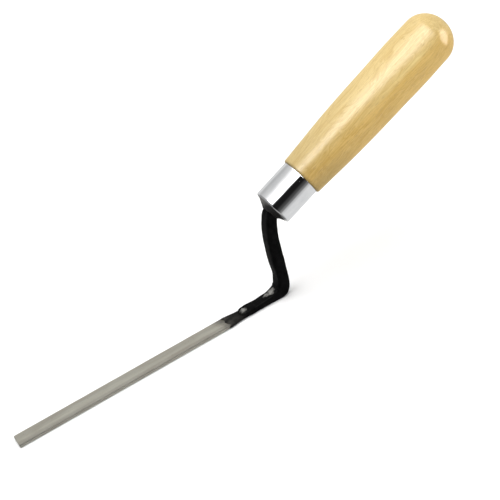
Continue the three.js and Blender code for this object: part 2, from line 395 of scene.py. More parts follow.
STEEL_DULL = (0.44, 0.415, 0.35)
STEEL_BRIGHT = (0.515, 0.5, 0.43)
RUST = (0.2, 0.165, 0.12)
SCORCH_DIRECTION = (1, 0.35, 0)
SCORCH_START = 122.0
SCORCH_END = 131.0
# Painted shade across the blade: lighter along its middle, darker towards its edges.
SHADE_ACROSS_DIRECTION = (0, -1, 0)
SHADE_ACROSS_START = -4.5
SHADE_ACROSS_END = 5.0
# Painted shade on the blade's upper -Y edge, where a highlight would show.
SHADED_EDGE_DIRECTION = (0, -1, 1)
SHADED_EDGE_START = 6.1
SHADED_EDGE_END = 6.55

THICK_ENAMEL = (0.002, 0.005)
THIN_ENAMEL = ((0.014, 0.014, 0.013), (0.05, 0.047, 0.042))
THICKENING_START = 130.0
THICKENING_END = 141.0
DUSTY_ENAMEL = (0.03, 0.029, 0.027)
# Grey of the painted highlights on the enamel.
GLINT_GREY = (0.24, 0.235, 0.22)
GLINT_RAGGEDNESS = 4.0
SPOT_BORDER = 0.9

# Painted highlights: grey glints on the weld bead and the lower bend, as (centre, radius).
GLINT_SPOTS = [((137.5, -0.7, 3.3), 1.3), ((155.3, 0.0, 5.0), 2.1), ((152.3, 0.6, 4.4), 1.1)]


def ground_steel():
    """Dull steel ground lengthwise, with painted shade across the blade: lighter along
    the middle and darker towards the edges, most near -Y. The upper -Y edge is darkened
    more as painted shade, and the heel is scorched by the welding."""
    finish = Finish("ground_steel", TOOL_AXES, Metallic=0.75, IOR=1.5)
    scratches = finish.noise(finish.stretched(0.03, 6, 6), detail=4)
    gouges = finish.noise(finish.stretched(0.012, 1.6, 1.6), detail=2)
    clouds = finish.noise(finish.stretched(0.05, 0.16, 0.16), detail=4, distortion=0.6)
    specks = finish.noise(finish.stretched(1.1, 1.4, 1.4), detail=2)
    blotches = finish.math("MULTIPLY", finish.noise(finish.stretched(0.5, 0.7, 0.7)), 5.0)
    colour = finish.ramp(clouds, (0.35, STEEL_DULL), (0.65, STEEL_BRIGHT))
    colour = finish.times(colour, finish.ramp(scratches, (0.3, 0.8), (0.7, 1.0)))
    colour = finish.mix(finish.ramp(specks, (0.66, 0.0), (0.74, 0.55)), colour, RUST)
    scorch = finish.share(SCORCH_DIRECTION, SCORCH_START, SCORCH_END, blotches)
    colour = finish.times(colour, finish.ramp(scorch, (0.1, 1.0), (1.0, 0.1)))
    # Painted shade across the blade, darkest near the -Y edge, with the -Y side face lighter again.
    film_and_shade = finish.share(SHADE_ACROSS_DIRECTION, SHADE_ACROSS_START, SHADE_ACROSS_END)
    film_and_shade = finish.ramp(film_and_shade, (0.3, 0.88), (0.6, 1.0), (0.8, 0.8), (0.95, 0.77), (1.0, 0.95))
    colour = finish.times(colour, film_and_shade)
    # Painted shade darkening the upper -Y edge.
    edge = finish.share(SHADED_EDGE_DIRECTION, SHADED_EDGE_START, SHADED_EDGE_END)
    colour = finish.times(colour, finish.ramp(edge, (0.0, 1.0), (1.0, 0.4)))
    rough = finish.ramp(scratches, (0.3, 0.5), (0.7, 0.36))
    normal = finish.bump(scratches, 0.5, 0.03)
    normal = finish.bump(gouges, 0.4, 0.06, normal)
    return finish.feed(Base_Color=colour, Roughness=rough, Normal=normal)


def black_enamel():
    """Glossy enamel over rough forged steel: thin on the blade's heel, thick on
    the shank, dusty, and lighter grey in a few places as painted highlights."""
    finish = Finish("black_enamel", TOOL_AXES, Metallic=0.0, Specular_IOR_Level=0.02)
    peel = finish.noise(finish.stretched(1.3, 1.3, 1.3), detail=2)
    hammered = finish.noise(finish.stretched(0.32, 0.32, 0.32), detail=2)
    dust_and_sheen = finish.noise(finish.stretched(2.6, 2.6, 2.6), detail=3)
    glint_edges = finish.noise(finish.stretched(0.7, 0.7, 0.7), detail=4)
    thick = finish.ramp(hammered, (0.35, THICK_ENAMEL[0]), (0.7, THICK_ENAMEL[1]))
    thin = finish.ramp(hammered, (0.35, THIN_ENAMEL[0]), (0.7, THIN_ENAMEL[1]))
    blotches = finish.math("MULTIPLY", hammered, 6.0)
    cover = finish.share((1, 0, 0), THICKENING_START, THICKENING_END, blotches)
    colour = finish.mix(cover, thin, thick)
    colour = finish.mix(finish.ramp(dust_and_sheen, (0.66, 0.0), (0.78, 0.5)), colour, DUSTY_ENAMEL)
    strayed = finish.math("MULTIPLY", glint_edges, GLINT_RAGGEDNESS)
    # Painted highlights: grey glints mixed into the enamel's colour.
    for centre, radius in GLINT_SPOTS:
        spot = finish.spot(centre, radius + GLINT_RAGGEDNESS / 2, strayed)
        colour = finish.mix(spot, colour, GLINT_GREY)
    rough = finish.ramp(dust_and_sheen, (0.4, 0.11), (0.72, 0.24))
    normal = finish.bump(hammered, 0.5, 0.5)
    normal = finish.bump(peel, 0.35, 0.1, normal)
    return finish.feed(Base_Color=colour, Roughness=rough, Normal=normal)


# ------------------------------------------------------------- chrome and resin

CHROME_HAZY = (0.78, 0.79, 0.805)
CHROME_CLEAR = (0.86, 0.865, 0.87)

RESIN_DARK = 0.004
RESIN_PALE = (0.02, 0.018, 0.016)
# Painted highlight: the resin's upper side is lighter grey.
UPPER_SHEEN = (0.16, 0.155, 0.145)
UPPER_SHEEN_DIRECTION = (0, 0.3, 0.95)
UPPER_SHEEN_START = 7.0
UPPER_SHEEN_END = 10.5


def chrome_plate():
    """Bright plating with fine polishing lines round the ferrule."""
    finish = Finish("chrome_plate", HANDLE_AXES, Metallic=1.0, IOR=2.5)
    lines = finish.noise(finish.stretched(4, 0.25, 0.25), detail=2)
    haze = finish.noise(finish.stretched(0.18, 0.3, 0.3), detail=3)
    tint = finish.ramp(haze, (0.3, CHROME_HAZY), (0.7, CHROME_CLEAR))
    polish = finish.ramp(haze, (0.3, 0.02), (0.75, 0.05))
    normal = finish.bump(lines, 0.05, 0.012)
    return finish.feed(Base_Color=tint, Roughness=polish, Normal=normal)


def dark_resin():
    """Dull cast resin, slightly uneven, lighter on its upper side as a painted highlight."""
    finish = Finish("dark_resin", HANDLE_AXES, Metallic=0.0, Specular_IOR_Level=0.22)
    lumps = finish.noise(finish.stretched(0.5, 0.5, 0.5), detail=4)
    grains = finish.noise(finish.stretched(3, 3, 3), detail=2)
    colour = finish.ramp(grains, (0.35, RESIN_DARK), (0.75, RESIN_PALE))
    blotches = finish.math("MULTIPLY", lumps, 6.0)
    # Painted highlight on the upper side.
    dust_and_sheen = finish.share(UPPER_SHEEN_DIRECTION, UPPER_SHEEN_START, UPPER_SHEEN_END, blotches)
    colour = finish.mix(finish.ramp(dust_and_sheen, (0.0, 0.0), (1.0, 0.85)), colour, UPPER_SHEEN)
    rough = finish.ramp(lumps, (0.3, 0.35), (0.7, 0.6))
    normal = finish.bump(lumps, 0.6, 0.35)
    normal = finish.bump(grains, 0.4, 0.08, normal)
    return finish.feed(Base_Color=colour, Roughness=rough, Normal=normal)


# ------------------------------------------------------------------------- wood

SAPWOOD = ((0.69, 0.525, 0.235), (0.6, 0.43, 0.165))
# Heartwood, laid on the grip's lower side: wood tone and painted shade.
SHADED_HEARTWOOD = ((0.71, 0.475, 0.145), (0.62, 0.395, 0.1))
WOOD_RAY = (0.46, 0.3, 0.11)
WOOD_PORE = (0.33, 0.2, 0.07)
# Painted highlight: a pale streak along the grip.
HIGHLIGHT_BAND = (0.86, 0.7, 0.32)
# Painted shade on the grip's lower side, and the direction of that side.
UNDERSIDE_SHADE = (0.2, 0.15, 0.05)
SHADED_HEART_SIDE = (-0.045, -0.75, -0.66)
SHADED_HEART_START = 3.0
SHADED_HEART_END = 10.0
LOWER_SIDE = (0, -0.577, -0.817)
UNDERSIDE_SHADE_START = 5.5
UNDERSIDE_SHADE_END = 10.5
HIGHLIGHT_BAND_START = 0.4
HIGHLIGHT_BAND_END = 7.2
GRIP_SPAN = (22.0, 122.0)


def growth_rings(finish, wander):
    """Early and late wood in wavy layers, with sapwood on one side of the grip and
    golden heartwood on the lower side, towards -Y and -Z, where its deeper, darker
    colour is wood tone and painted shade."""
    bent = finish.add("CombineXYZ", {"Y": finish.math("MULTIPLY", wander, 26.0)}).outputs[0]
    sawn = finish.stretched(0.02, 0.95, 0.35)
    layered = finish.add("VectorMath", {0: sawn, 1: bent}, operation="ADD").outputs[0]
    rings = finish.noise(layered, detail=1.5, roughness=0.4)
    layers = []
    for early, late in (SAPWOOD, SHADED_HEARTWOOD):
        layers.append(finish.ramp(rings, (0.34, early), (0.5, late), (0.53, early), (0.7, late)))
    straying = finish.math("MULTIPLY", wander, 8.0)
    return finish.mix(finish.share(SHADED_HEART_SIDE, SHADED_HEART_START, SHADED_HEART_END, straying), *layers)


def wood_shade_and_highlight(finish, colour, flecks):
    """Painted shade at the wood's shoulder by the ferrule, colour darker towards the
    ferrule and lighter towards the butt, painted shade on the underside, and a
    painted highlight streak towards the butt."""
    reach = finish.share((1, 0, 0), *GRIP_SPAN)
    # Painted shade at the shoulder next to the ferrule, then darker towards the ferrule and lighter
    # towards the butt.
    darker_towards_ferrule = finish.ramp(reach, (0.005, 0.5), (0.02, 0.84), (0.35, 0.97), (0.7, 1.05))
    colour = finish.times(colour, darker_towards_ferrule)
    # Painted shade on the grip's lower side, strongest near the ferrule.
    underside = finish.share(LOWER_SIDE, UNDERSIDE_SHADE_START, UNDERSIDE_SHADE_END, finish.math("MULTIPLY", flecks, 1.5))
    underside_shade_strength = finish.ramp(reach, (0.08, 0.42), (0.3, 0.14), (1.0, 0.12))
    colour = finish.mix(finish.math("MULTIPLY", underside_shade_strength, underside), colour, UNDERSIDE_SHADE)
    # Painted highlight: a pale streak along the lower side towards the butt.
    highlight_band = finish.share(LOWER_SIDE, HIGHLIGHT_BAND_START, HIGHLIGHT_BAND_END, finish.math("MULTIPLY", flecks, 1.8))
    highlight = finish.ramp(highlight_band, (0.25, 0.0), (0.53, 0.62), (0.8, 0.0))
    shown = finish.ramp(reach, (0.3, 0.0), (0.85, 1.0), (1.0, 0.0))
    return finish.mix(finish.math("MULTIPLY", highlight, shown), colour, HIGHLIGHT_BAND)


def lacquered_wood():
    """Pale straight-grained wood under clear lacquer. X runs with the grain."""
    gloss = {"Specular_IOR_Level": 0.2, "Coat_Roughness": 0.18, "Coat_IOR": 1.5}
    finish = Finish("lacquered_wood", HANDLE_AXES, Metallic=0.0, **gloss)
    wander = finish.noise(finish.stretched(0.012, 0.05, 0.05), detail=2)
    fibres = finish.noise(finish.stretched(0.035, 2.4, 2.4), detail=5, roughness=0.65)
    flecks = finish.noise(finish.stretched(0.22, 1.9, 1.9), detail=1)
    pores = finish.noise(finish.stretched(0.32, 6.5, 6.5), detail=1)
    holes = finish.ramp(pores, (0.64, 0.0), (0.72, 0.6))
    colour = growth_rings(finish, wander)
    colour = finish.times(colour, finish.ramp(fibres, (0.3, 0.86), (0.62, 1.0)))
    colour = finish.mix(finish.ramp(flecks, (0.62, 0.0), (0.7, 0.55)), colour, WOOD_RAY)
    colour = finish.mix(holes, colour, WOOD_PORE)
    colour = wood_shade_and_highlight(finish, colour, flecks)
    facing_away = finish.add("LayerWeight", {"Blend": 0.5}).outputs["Facing"]
    coat = finish.ramp(facing_away, (0.1, 0.85), (0.6, 0.1))
    rough = finish.ramp(fibres, (0.3, 0.5), (0.7, 0.38))
    normal = finish.bump(fibres, 0.25, 0.05)
    normal = finish.bump(holes, -0.3, 0.06, normal)
    return finish.feed(Base_Color=colour, Roughness=rough, Normal=normal, Coat_Weight=coat)


STEEL = ground_steel()
ENAMEL = black_enamel()
CHROME = chrome_plate()
RESIN = dark_resin()
WOOD = lacquered_wood()

# ----------------------------------------------------------------------- blade


def blade_width(x):
    """Width of the blade at each distance from its tip."""
    tip = BLADE_TIP_ROUNDING
    width = np.interp(
        x,
        [0, BLADE_HEEL_X, BLADE_WAIST_X, BLADE_END_X],
        [BLADE_TIP_WIDTH, BLADE_HEEL_WIDTH, BLADE_WAIST_WIDTH, BLADE_WAIST_WIDTH],
    )
    back = np.clip(tip - x, 0, tip)
    return width - 2 * (tip - np.sqrt(np.maximum(tip**2 - back**2, 0)))


def strip_outline(edge_steps=5, face_steps=8):
    """A strip's section as (side, face, rounding across, rounding up): where a
    point lies on the flat section's corners, and how far round the edge it is."""
    outline = []
    for side, face, start in ((1, 1, 0), (-1, 1, 90), (-1, -1, 180), (1, -1, 270)):
        for i in range(edge_steps + 1):
            angle = math.radians(start + 90 * i / edge_steps)
            outline.append((side, face, math.cos(angle), math.sin(angle)))
        if start in (0, 180):
            for i in range(1, face_steps):
                share = 1 - 2 * i / face_steps
                outline.append((side * share, face, 0, face))
    return np.array(outline)


def strip_rings(x, half_width, low, high, rounding):
    """Rings of a rounded strip at the distances x, between heights low and high."""
    outline = strip_outline()
    side, face, across, up = outline.T
    middle, half_height = (low + high) / 2, (high - low) / 2
    rounding = np.minimum(rounding, np.minimum(half_width, half_height) * 0.95)
    rings = np.empty((len(x), len(outline), 3))
    rings[:, :, 0] = x[:, None]
    rings[:, :, 1] = side * (half_width - rounding)[:, None] + across * rounding[:, None]
    flat = (half_height - rounding)[:, None]
    rings[:, :, 2] = middle[:, None] + face * flat + up * rounding[:, None]
    return rings


def wear_blade(points):
    """Makes the blade's edges wavy and its upper face slightly uneven."""
    wobble = noise_at(points, 7.0, 1) * 0.05 + noise_at(points, 1.6, 2) * 0.018
    side = np.sign(points[:, 1]) * smoothstep(0.8, 1.0, abs(points[:, 1]) / BLADE_EDGE_Y)
    points[:, 1] += side * (wobble - 0.05)
    upper = smoothstep(0.9, 1.8, points[:, 2])
    points[:, 2] -= upper * (0.03 + 0.03 * noise_at(points, 14.0, 3))
    points[:, 2] = np.maximum(points[:, 2], BLADE_LIFT)


def make_blade():
    """The steel strip, rounded at its tip and edges. Its underside makes room for
    the enamel coat at the heel."""
    edge = BLADE_EDGE_ROUNDING
    near_tip = edge * (1 - np.cos(np.linspace(0, math.pi / 2, 6)))
    round_tip = np.linspace(edge, BLADE_TIP_ROUNDING, 8)[1:]
    body = np.linspace(BLADE_TIP_ROUNDING, BLADE_END_X, 240)[1:]
    x = np.concatenate([near_tip + BLADE_TIP_PLAY, round_tip, body])
    pull = np.clip(edge - x, 0, edge)
    inset = edge - np.sqrt(np.maximum(edge**2 - pull**2, 0))
    half_width = blade_width(x + BLADE_TIP_LEAD) / 2 - inset
    coated = COAT_THICKNESS * smoothstep(COAT_START_X - 4, COAT_START_X - 1, x)
    high = BLADE_THICKNESS - inset
    rings = strip_rings(x, half_width, inset + coated, high, np.full(len(x), edge))
    wear_blade(rings.reshape(-1, 3))
    ends = [(0.0, 0, BLADE_THICKNESS / 2), (BLADE_END_X, 0, BLADE_THICKNESS / 2)]
    return skinned("ground_blade", rings, ends, STEEL, ["blade"])


def make_enamel_coat():
    """The enamel that ends raggedly across the blade: a thin sleeve on its heel."""
    outline = strip_outline()
    side = outline[:, 0] + 0.3 * outline[:, 2]
    edge_points = [(0, s * BLADE_EDGE_Y, f * 2.0) for s, f in zip(side, outline[:, 1])]
    ragged = noise_at(edge_points, 2.6, 4) * 1.5 + noise_at(edge_points, 0.8, 5) * 0.7
    front = COAT_START_X + ragged - 0.35 * side
    spread = np.linspace(0, 1, 60) ** 1.5
    share = np.concatenate([[0], spread, [1]])
    film_and_shade = COAT_THICKNESS * smoothstep(0, 0.12, spread)
    film_and_shade = np.concatenate([[-COAT_SINK], film_and_shade + COAT_PLAY, [-COAT_SINK]])
    straight = COAT_START_X + share * (COAT_END_X - COAT_START_X)
    width = blade_width(np.minimum(straight, BLADE_END_X)) / 2
    ripple = 0.05 * noise_at([(x, 0, 0) for x in straight], 1.4, 6)
    film_and_shade = film_and_shade + ripple * (film_and_shade > 0.05)
    high = BLADE_THICKNESS + film_and_shade
    low = np.where(film_and_shade > 0, COAT_LIFT, COAT_THICKNESS + 0.05)
    rounding = np.full(len(share), COAT_EDGE_ROUNDING)
    rings = strip_rings(straight, width + film_and_shade, low, high, rounding)
    stretch = (COAT_END_X - front[None, :]) / (COAT_END_X - COAT_START_X)
    rings[:, :, 0] = COAT_END_X - (COAT_END_X - rings[:, :, 0]) * stretch
    return skinned("enamel_coat", rings, None, ENAMEL, [])


def make_weld_bead():
    """A low lump of filler metal with ripples across it, flat underneath."""
    steps, around = 40, 72
    angle = np.linspace(0, 2 * math.pi, around, endpoint=False)
    tilt = np.linspace(-1, 1, steps + 2)[1:-1] * math.pi / 2
    rings = np.empty((steps, around, 3))
    rings[:, :, 1] = BEAD_HALF_WIDTH * np.sin(tilt)[:, None]
    size = np.cos(tilt)[:, None] ** BEAD_FULLNESS
    rings[:, :, 0] = BEAD_MIDDLE_X + BEAD_HALF_LENGTH * size * np.cos(angle)
    rings[:, :, 2] = BEAD_TOP / 2 + BEAD_TOP / 2 * size * np.sin(angle)
    points = rings.reshape(-1, 3)
    phase = points[:, 1] * BEAD_RIPPLE_TURN + 1.3 * noise_at(points, 2.0, 7)
    ripple = BEAD_UNEVENNESS * np.sin(phase)
    lump = BEAD_UNEVENNESS * noise_at(points, 2.2, 8) + ripple * smoothstep(1.2, 2.4, points[:, 2])
    points[:, 0] += lump * np.sign(points[:, 0] - BEAD_MIDDLE_X) * 0.5
    points[:, 2] += lump * smoothstep(0.6, 2.0, points[:, 2])
    points[:, 2] = np.maximum(points[:, 2], BEAD_LIFT)
    ends = [(BEAD_MIDDLE_X, s * BEAD_HALF_WIDTH, BEAD_TOP / 2) for s in (-1, 1)]
    return skinned("weld_bead_lump", rings, ends, ENAMEL, ["weld_bead"])


# ----------------------------------------------------------------------- shank


def leaning(angle):
    return np.array((math.cos(angle), math.sin(angle)))


def neck_curve(start, t):
    """The bowed neck, from the lower bend's end to NECK_TOP."""
    pull = start + leaning(NECK_BOTTOM_LEAN) * NECK_BOW
    push = NECK_TOP - leaning(NECK_TOP_LEAN) * NECK_BOW
    u = 1 - t
    return u**3 * start + 3 * u**2 * t * pull + 3 * u * t**2 * push + t**3 * NECK_TOP


def shank_line():
    """The shank's centre line in the X-Z plane, as points, and the distance
    along it at which each stretch ends."""
    lean, axis = leaning(NECK_TOP_LEAN), leaning(HANDLE_RISE)
    mouth = np.array((HANDLE_START.x, HANDLE_START.z))
    corner = NECK_TOP + lean * np.cross(mouth - NECK_TOP, axis) / np.cross(lean, axis)
    bend_start = corner - lean * UPPER_BEND_REACH
    bend_end = corner + axis * UPPER_BEND_REACH
    centre = np.array((FOOT_END_X, FOOT_CENTRE_Z + LOWER_BEND_RADIUS))
    reach = (LOWER_BEND_RADIUS, LOWER_BEND_RADIUS)
    turn = arc(centre, reach, -90, math.degrees(NECK_BOTTOM_LEAN) - 90, 60)
    t = np.linspace(0, 1, 200)[:, None]
    bend = (1 - t) ** 2 * bend_start + 2 * (1 - t) * t * corner + t**2 * bend_end
    stretches = [
        np.array([(FOOT_START_X, FOOT_CENTRE_Z), (FOOT_END_X, FOOT_CENTRE_Z)]),
        np.array(turn),
        neck_curve(np.array(turn[-1]), t),
        np.vstack([bend_start, bend]),
        np.array([bend_end, mouth + axis * TANG_LENGTH]),
    ]
    points, ends = stretches[0], []
    for stretch in stretches[1:]:
        ends.append(distances(points)[-1])
        points = np.vstack([points, stretch])
    return points, ends


def distances(points):
    """Distance along a line of points at which each one lies."""
    steps = np.linalg.norm(np.diff(points, axis=0), axis=1)
    return np.concatenate([[0], np.cumsum(steps)])


def points_at(places, line, along):
    """Points at the given distances along a line of points, which may repeat."""
    separate = np.concatenate([[True], np.diff(along) > 1e-9])
    columns = line[separate].T
    return np.stack([np.interp(places, along[separate], column) for column in columns], 1)


def shank_places(ends, length):
    """Distances along the bar of its rings, closer together in the bends."""
    foot, turn, neck, mouth = ends
    return np.concatenate(
        [
            np.arange(0, foot - 1, 0.3),
            np.arange(foot - 1, turn + 1, 0.16),
            np.arange(turn + 1, neck, 0.35),
            np.arange(neck, mouth + 3, 0.2),
            np.arange(mouth + 3, length, 1.5),
            [length],
        ]
    )


def bar_sections(ends, length):
    """The bar's width, and how far it reaches to the outer and the inner side of
    its centre line, as (distance along the bar, size). The inner side is the
    foot's upper side and the neck's side towards the blade."""
    foot, turn, neck, mouth = ends
    middle = (foot + turn) / 2
    tang = mouth + 6
    width = [(0, 6.6), (2.2, 7.5), (9, 7.3), (foot, 7.7), (turn, 8.3)]
    width += [(neck, 8.1), (mouth, 7.6), (tang, 7.0), (length, 3.0)]
    outer = [(0, 1.5), (2.2, 1.7), (foot - 5, 2.0), (foot, 2.2), (middle, 2.6), (turn, 2.75)]
    outer += [(turn + 8, 3.0), (neck, 2.95), (mouth, 2.75), (tang, 2.5), (length, 1.5)]
    inner = [(0, 0.9), (2.2, 1.7), (5, 1.75), (9, 1.75), (13.5, 2.1), (foot - 4, 2.5)]
    inner += [(foot, 4.2), (middle, 5.1), (turn, 4.5), (turn + 4, 3.7), (turn + 14, 3.9)]
    inner += [(neck - 10, 3.6), (neck, 3.4), (mouth, 2.9), (tang, 2.5), (length, 1.5)]
    return width, outer, inner


def bar_outline(around):
    """A rounded rectangle of (across, height) points from -1 to 1."""
    angle = np.linspace(0, 2 * math.pi, around, endpoint=False)
    power = 2 / BAR_SQUARENESS
    across = np.sign(np.cos(angle)) * abs(np.cos(angle)) ** power
    height = np.sign(np.sin(angle)) * abs(np.sin(angle)) ** power
    return across, height


def bar_offsets(tangent, across, lift):
    """Offsets from the bar's centre line: `across` along Y, and `lift` to its
    inner side."""
    offsets = np.empty((len(tangent), lift.shape[-1], 3))
    offsets[:, :, 0] = -tangent[:, 1, None] * lift
    offsets[:, :, 1] = across
    offsets[:, :, 2] = tangent[:, 0, None] * lift
    return offsets


def make_shank():
    """The forged bar, swept along its centre line, with hammered faces."""
    line, ends = shank_line()
    along = distances(line)
    length = along[-1]
    places = shank_places(ends, length)
    centre = points_at(places, line, along)
    ahead = points_at(places + TANGENT_REACH, line, along)
    tangent = ahead - points_at(places - TANGENT_REACH, line, along)
    tangent /= np.linalg.norm(tangent, axis=1)[:, None]
    width, outer, inner = (smooth_through(s, places)[:, None] for s in bar_sections(ends, length))
    across, height = bar_outline(72)
    lift = np.where(height > 0, inner * height, outer * height)
    rings = bar_offsets(tangent, width / 2 * across, lift)
    rings[:, :, 0] += centre[:, 0, None]
    rings[:, :, 2] += centre[:, 1, None]
    points = rings.reshape(-1, 3)
    outward = bar_offsets(tangent, 0.7 * across, height).reshape(-1, 3)
    outward /= np.linalg.norm(outward, axis=1)[:, None]
    dents = 0.16 * noise_at(points, 6.0, 9) + 0.09 * noise_at(points, 2.4, 10)
    dents += 0.03 * noise_at(points, 0.9, 11)
    points += outward * dents[:, None]
    points[:, 2] = np.maximum(points[:, 2], 0.0)
    ends = [rings[0].mean(0), rings[-1].mean(0)]
    return skinned("forged_shank", rings, ends, ENAMEL, ["shank"])


# ------------------------------------------------- ferrule, resin and wood grip


def make_ferrule():
    """A slightly dented tube with a rounded lip and a bevelled end."""
    inner = FERRULE_RADIUS - FERRULE_WALL
    lip = FERRULE_LIP_ROUNDING
    inside = lip - FERRULE_WALL
    centre = (lip, FERRULE_RADIUS - lip)
    swell = (FERRULE_WALL / 2, FERRULE_MOUTH_SWELL)
    bevel = FERRULE_END_BEVEL
    profile = [
        *[(FERRULE_LENGTH - bevel, FERRULE_RADIUS), (FERRULE_LENGTH, FERRULE_RADIUS - bevel)],
        *[(FERRULE_LENGTH, inner + bevel), (FERRULE_LENGTH - bevel, inner)],
        *[(x, inner) for x in np.linspace(FERRULE_LENGTH - 2 * bevel, lip, 30)[:-1]],
        *arc(centre, (inside, inside), 90, 180, 8),
        *arc((FERRULE_WALL / 2, FERRULE_MOUTH_RADIUS), swell, 0, -180, 8),
        *arc(centre, (lip, lip), 180, 90, 14),
        *[(x, FERRULE_RADIUS) for x in np.linspace(lip, FERRULE_LENGTH - bevel, 60)[1:-1]],
    ]
    rings = turned_rings(profile, 160)
    points = rings.reshape(-1, 3)
    dent = 1 + FERRULE_DENTS * noise_at(points, 7.0, 12) - FERRULE_DENTS
    points[:, 1:] *= dent[:, None]
    return skinned("chromed_ferrule", rings, None, CHROME, ["ferrule"])


def make_handle():
    """The turned grip with its domed butt, spigot and blind bore."""
    start = FERRULE_LENGTH + GRIP_FRONT_GAP
    end = FERRULE_LENGTH + GRIP_LENGTH - GRIP_END_GAP
    edge = GRIP_EDGE_ROUNDING
    dome = GRIP_OUTLINE[-1][1]
    places = np.linspace(edge + GRIP_FRONT_GAP, GRIP_LENGTH - GRIP_DOME_LENGTH, 170)
    radius = smooth_through(GRIP_OUTLINE, places)
    profile = [
        (BORE_END, BORE_RADIUS),
        (SPIGOT_START, BORE_RADIUS),
        (SPIGOT_START, SPIGOT_RADIUS),
        (start, SPIGOT_RADIUS),
        *arc((start + edge, radius[0] - edge), (edge, edge), 180, 90, 10)[:-1],
        *zip(FERRULE_LENGTH + places, radius),
        *arc((end - GRIP_DOME_LENGTH, 0), (GRIP_DOME_LENGTH, dome), 90, 2, 44)[1:],
    ]
    rings = turned_rings(profile, 192)
    points = rings.reshape(-1, 3)
    off_axis = np.hypot(points[:, 1], points[:, 2])
    outside = smoothstep(SPIGOT_RADIUS + 0.5, SPIGOT_RADIUS + 1.5, off_axis)
    uneven = GRIP_UNEVENNESS * noise_at(points, 22.0, 13)
    uneven += GRIP_RIPPLE * noise_at(points * (0.3, 1, 1), 4.0, 14)
    points[:, 1:] *= (1 + outside * (uneven - GRIP_UNEVENNESS))[:, None]
    ends = [(BORE_END, 0, 0), (end, 0, 0)]
    return skinned("turned_handle", rings, ends, WOOD, ["handle"])


def make_bedding():
    """Resin round the tang: it bulges out of the ferrule's mouth as a low cone,
    with a raised rim where it meets the shank."""
    wall = FERRULE_RADIUS - FERRULE_WALL - BEDDING_PLAY
    mouth = FERRULE_MOUTH_RADIUS - BEDDING_PLAY
    stem, stem_end = BORE_RADIUS - STEM_PLAY, BORE_END - STEM_PLAY
    radius = np.linspace(0.4, mouth, 60)
    slope = BULGE_HEIGHT * (1 - smoothstep(BULGE_TOP_RADIUS, mouth + BULGE_OVERRUN, radius))
    profile = [
        *zip(-slope, radius),
        (BEDDING_SHOULDER, mouth),
        (BEDDING_SHOULDER, wall),
        (SPIGOT_START - BEDDING_END_PLAY, wall),
        (SPIGOT_START - BEDDING_END_PLAY, stem),
        (stem_end, stem),
    ]
    rings = turned_rings(profile, 96)
    front = rings[: len(radius)]
    points = front.reshape(-1, 3)
    aside = np.maximum(abs(points[:, 1]) - RIM_HALF_WIDTH, 0)
    above = np.maximum(abs(points[:, 2] + RIM_DROP) - RIM_HALF_HEIGHT, 0)
    rim = RIM_HEIGHT * np.exp(-np.hypot(aside, above) / RIM_SPREAD)
    uneven = 0.3 * noise_at(points, 3.5, 15) + 0.08 * noise_at(points, 1.1, 16)
    off_axis = np.hypot(points[:, 1], points[:, 2])
    points[:, 0] -= rim + uneven * smoothstep(mouth, mouth - 2, off_axis)
    ends = [front[0].mean(0), (stem_end, 0, 0)]
    return skinned("tang_resin", rings, ends, RESIN, ["tang_bedding"])


make_blade()
make_enamel_coat()
make_weld_bead()
make_shank()
make_ferrule()
make_bedding()
make_handle()

# ---------------------------------------------------------------------- camera

CAMERA_TARGET = TIP + Vector((152.1, -3.05, 36.2)) * MM
CAMERA_DISTANCE = 0.8
CAMERA_AZIMUTH = math.radians(-16.04)
CAMERA_ELEVATION = math.radians(31.82)
CAMERA_ROLL = math.radians(20.5)
CAMERA_LENS = 109.83
CAMERA_SENSOR = 36.0


def make_camera():
    """Makes the camera, and gives the direction from the object to it."""
    level = math.cos(CAMERA_ELEVATION)
    x, y = math.sin(CAMERA_AZIMUTH) * level, -math.cos(CAMERA_AZIMUTH) * level
    back = Vector((x, y, math.sin(CAMERA_ELEVATION)))
    data = bpy.data.cameras.new("camera")
    data.lens = CAMERA_LENS
    data.sensor_width = CAMERA_SENSOR
    turn = back.to_track_quat("Z", "Y").to_matrix().to_4x4()
    roll = Matrix.Rotation(-CAMERA_ROLL, 4, "Z")
    place = Matrix.Translation(CAMERA_TARGET + back * CAMERA_DISTANCE)
    bpy.context.scene.camera = linked("camera", data, place @ turn @ roll)
    return back


# ------------------------------------------------------------- floor and lights

WORLD_STRENGTH = 0.8
FLOOR_SIZE = 6.0
FLOOR_DROP = 0.0003
PAPER_WHITE = 0.95

FILL_ENERGY = 17.0
FILL_SIZE = 1.5
FILL_ANGLE = math.radians(65)
FILL_DISTANCE = 1.3
FILL_SHIFT = 0.5

WINDOW_GLOW = 9.0
WINDOW_DIRECTION = Vector((0.85, -0.52, 0.04))
WINDOW_UPRIGHT = Vector((0.31, 0.62, 0.73))
WINDOW_DISTANCE = 0.8
WINDOW_HEIGHT = 0.6
WINDOW_WIDTH = 0.55

GRIP_MIDDLE_X = 0.07
GRIP_MIDDLE = HANDLE_AXES.matrix @ Vector((GRIP_MIDDLE_X, 0, 0))
ROOM_RADIUS = 1.2

# Brightness of the room round the handle's axis, as (degrees, brightness): 0 is
# the camera's side and 90 is above the handle.
ROOM = [
    (-180, 0.8),
    (-75, 0.78),
    (-62, 0.6),
    (-52, 0.22),
    (-36, 0.07),
    (-20, 0.012),
    (3, 0.012),
    (10, 0.3),
    (20, 0.8),
    (60, 0.84),
    (85, 0.68),
    (112, 0.55),
    (142, 0.8),
    (180, 0.3),
]

